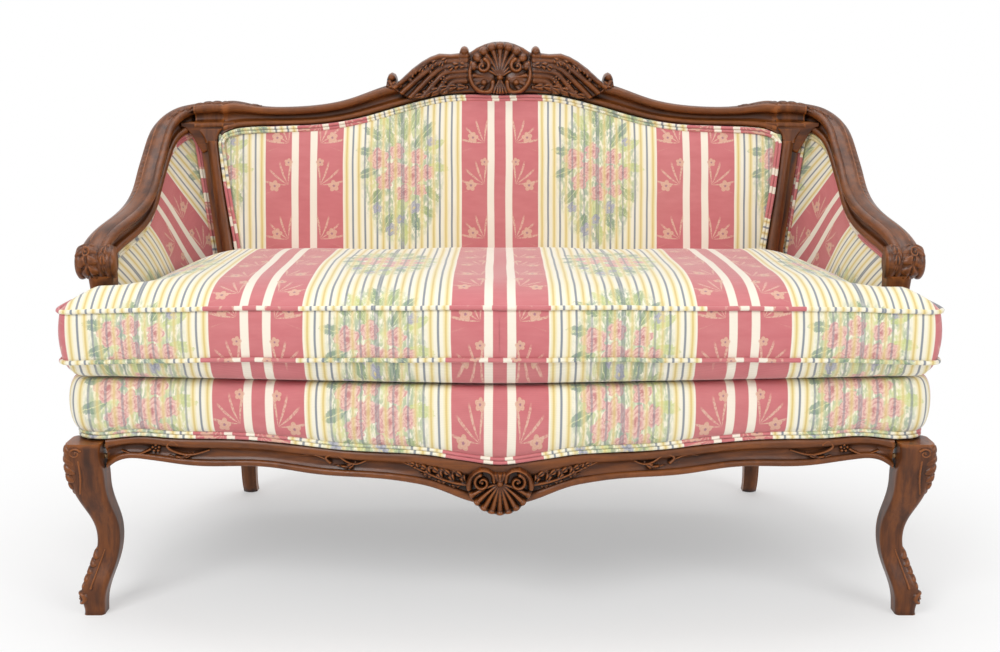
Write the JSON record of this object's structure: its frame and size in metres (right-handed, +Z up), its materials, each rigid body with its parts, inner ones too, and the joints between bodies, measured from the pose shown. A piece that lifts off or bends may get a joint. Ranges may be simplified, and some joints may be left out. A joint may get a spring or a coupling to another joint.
{
  "type": "cabriole sofa",
  "caption": "Two-seat cabriole sofa with a carved walnut show frame, curved wings running into scrolled hand rests, a padded back and a loose T-shaped seat cushion.",
  "frame": {"origin": "on the floor under the middle of the sofa's footprint", "axes": "+Z up, +X to the right seen from the front, the sofa faces -Y"},
  "size_m": [1.3506, 0.7316, 0.908],
  "materials": {
    "brocade": "striped floral brocade",
    "burlap": "jute",
    "dust_cloth": "black cambric",
    "frame_timber": "plain sawn beech",
    "spring_steel": "oil-tempered spring steel",
    "stuffing": "cotton and foam stuffing",
    "walnut_show": "polished carved walnut",
    "zinc_screw": "zinc-plated steel",
    "zipper_metal": "brass teeth on tape"
  },
  "bodies": {
    "frame": {"apron_shell": "walnut_show", "arm_post_left": "walnut_show", "arm_post_right": "walnut_show", "arm_rail_left": "walnut_show", "arm_rail_right": "walnut_show", "arm_tack_rail_left": "frame_timber", "arm_tack_rail_right": "frame_timber", "back_cover": "brocade", "back_padding": "stuffing", "back_webbing": "burlap", "back_welt": "brocade", "corner_block_screws": "zinc_screw", "corner_blocks": "frame_timber", "crest_carving": "walnut_show", "crest_rail": "walnut_show", "crest_shell": "walnut_show", "deck_cover": "brocade", "deck_front_roll": "brocade", "deck_padding": "stuffing", "dust_cover": "dust_cloth", "frame_dowels": "frame_timber", "front_leg_left": "walnut_show", "front_leg_right": "walnut_show", "front_seat_rail": "walnut_show", "lower_back_rail": "frame_timber", "outside_arm_cover_left": "brocade", "outside_arm_cover_right": "brocade", "outside_back_cover": "brocade", "rear_seat_rail": "frame_timber", "seat_brace": "frame_timber", "seat_welt": "brocade", "side_seat_rail_left": "walnut_show", "side_seat_rail_right": "walnut_show", "spring_burlap": "burlap", "spring_clips": "spring_steel", "stile_and_rear_leg_left": "walnut_show", "stile_and_rear_leg_right": "walnut_show", "wing_cover_left": "brocade", "wing_cover_right": "brocade", "wing_padding_left": "stuffing", "wing_padding_right": "stuffing", "wing_welt_left": "brocade", "wing_welt_right": "brocade", "zigzag_springs": "spring_steel"},
    "cushion": {"cushion_bottom_panel": "brocade", "cushion_bottom_piping": "brocade", "cushion_boxing": "brocade", "cushion_filling": "stuffing", "cushion_top_panel": "brocade", "cushion_top_piping": "brocade", "cushion_zipper": "zipper_metal"}
  },
  "joints": [
    {"name": "cushion_lift", "type": "slide", "parent": "frame", "child": "cushion", "axis": [0, 0, 1], "range_m": [0, 0.5]}
  ]
}
